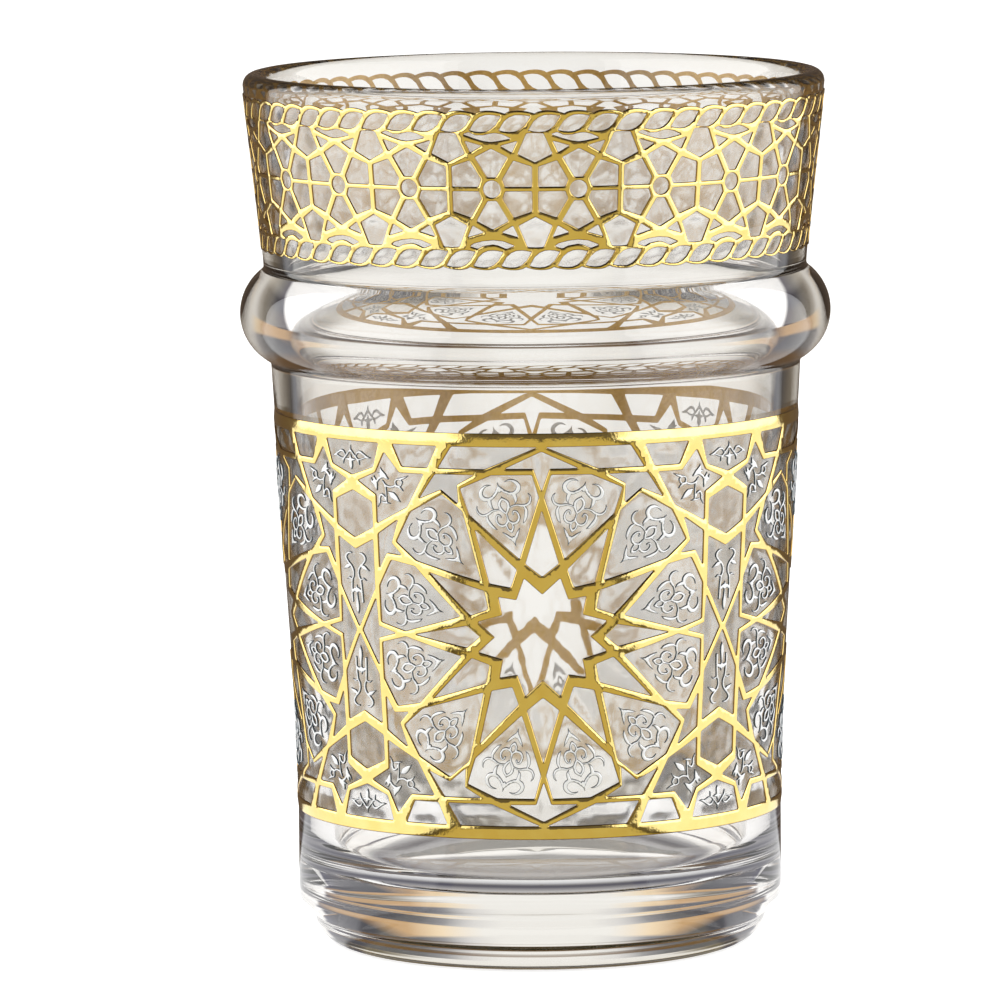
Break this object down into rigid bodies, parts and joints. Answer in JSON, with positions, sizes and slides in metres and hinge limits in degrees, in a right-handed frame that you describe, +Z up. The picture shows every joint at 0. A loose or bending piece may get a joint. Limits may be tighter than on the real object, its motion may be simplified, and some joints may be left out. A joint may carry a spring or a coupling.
{
  "type": "moroccan tea glass",
  "caption": "Clear pressed tea glass with a bead below its rim, fired gold star strapwork in bands and white relief arabesques.",
  "frame": {"origin": "centre of the foot, on the surface that the glass stands on", "axes": "+Z up along the axis of the glass; -Y points out through the middle of one gold star"},
  "size_m": [0.0608, 0.0608, 0.09],
  "materials": {
    "clear_glass": "clear pressed soda-lime glass, fire polished",
    "fired_gold": "bright fired gold, laid slightly proud of the glass",
    "white_enamel": "fired white relief enamel, glossy"
  },
  "bodies": {
    "root": {"glass_cup": "clear_glass", "rim_rope_upper": "fired_gold", "rim_rope_lower": "fired_gold", "rim_lattice": "fired_gold", "body_belt_upper": "fired_gold", "body_belt_lower": "fired_gold", "star_strapwork": "fired_gold", "petal_arabesques": "white_enamel", "star_cell_arabesques": "white_enamel", "vine_motifs": "white_enamel", "trefoil_motifs": "white_enamel"}
  },
  "joints": []
}
